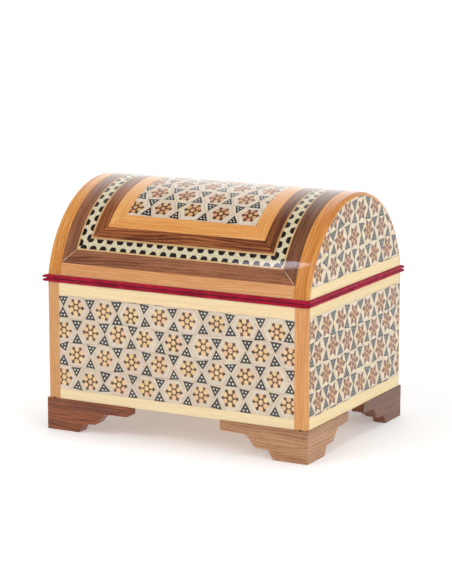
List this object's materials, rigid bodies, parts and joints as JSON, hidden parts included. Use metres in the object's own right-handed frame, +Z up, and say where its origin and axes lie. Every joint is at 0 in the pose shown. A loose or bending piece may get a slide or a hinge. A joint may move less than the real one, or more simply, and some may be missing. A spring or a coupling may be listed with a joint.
{
  "type": "inlaid wooden box",
  "caption": "Small rectangular wooden keepsake box with a barrel-vaulted hinged lid, bracket feet, star mosaic inlay panels and a red velvet lining.",
  "frame": {"origin": "under the middle of the box, on the surface that its feet stand on", "axes": "+X along the box to the right end, +Y to the back where the hinges are, so the front faces -Y, +Z up"},
  "size_m": [0.132, 0.0998, 0.1105],
  "materials": {
    "carcass_wood": "sanded softwood, hidden under veneers and lining",
    "light_wood": "light orange wood under glossy lacquer",
    "cream_wood": "pale cream wood under glossy lacquer",
    "walnut": "dark brown wood under glossy lacquer",
    "foot_wood": "brown wood, thin satin finish",
    "mosaic_inlay": "bone, dark and light wood mosaic under glossy lacquer",
    "line_inlay": "thin light line under glossy lacquer",
    "zigzag_inlay": "pale and dark zigzag inlay under glossy lacquer",
    "velvet": "red velvet",
    "brass": "satin brass"
  },
  "bodies": {
    "base": {"base_back_board": "carcass_wood", "base_bottom_board": "carcass_wood", "base_floor_pad": "velvet", "base_front_board": "carcass_wood", "base_left_board": "carcass_wood", "base_right_board": "carcass_wood", "base_velvet_lip": "velvet", "base_wall_lining": "velvet", "cream_strip_back_foot": "cream_wood", "cream_strip_back_top": "cream_wood", "cream_strip_front_foot": "cream_wood", "cream_strip_front_top": "cream_wood", "cream_strip_left_foot": "cream_wood", "cream_strip_left_top": "cream_wood", "cream_strip_right_foot": "cream_wood", "cream_strip_right_top": "cream_wood", "foot_back_left_long": "foot_wood", "foot_back_left_short": "foot_wood", "foot_back_right_long": "foot_wood", "foot_back_right_short": "foot_wood", "foot_front_left_long": "foot_wood", "foot_front_left_short": "foot_wood", "foot_front_right_long": "foot_wood", "foot_front_right_short": "foot_wood", "hinge_base_screws": "brass", "hinge_left_base_leaf": "brass", "hinge_pins": "brass", "hinge_right_base_leaf": "brass", "mosaic_back": "mosaic_inlay", "mosaic_front": "mosaic_inlay", "mosaic_left": "mosaic_inlay", "mosaic_right": "mosaic_inlay", "post_back_left": "light_wood", "post_back_right": "light_wood", "post_front_left": "light_wood", "post_front_right": "light_wood"},
    "lid": {"cream_strip_lid_left": "cream_wood", "cream_strip_lid_right": "cream_wood", "hinge_left_lid_leaf": "brass", "hinge_lid_screws": "brass", "hinge_right_lid_leaf": "brass", "lid_back_strip": "light_wood", "lid_end_linings": "velvet", "lid_front_strip": "light_wood", "lid_inner_line": "line_inlay", "lid_inner_walnut_frame": "walnut", "lid_left_band": "light_wood", "lid_left_board": "carcass_wood", "lid_light_frame": "light_wood", "lid_outer_line": "line_inlay", "lid_outer_walnut_frame": "walnut", "lid_right_band": "light_wood", "lid_right_board": "carcass_wood", "lid_vault": "carcass_wood", "lid_vault_lining": "velvet", "lid_velvet_lip": "velvet", "lid_zigzag_band": "zigzag_inlay", "mosaic_lid_left": "mosaic_inlay", "mosaic_lid_right": "mosaic_inlay", "mosaic_lid_top": "mosaic_inlay"}
  },
  "joints": [
    {"name": "lid_hinge", "type": "hinge", "parent": "base", "child": "lid", "pos_m": [0, 0.0492, 0.0693], "axis": [-1, 0, 0], "range_deg": [0, 100]}
  ]
}
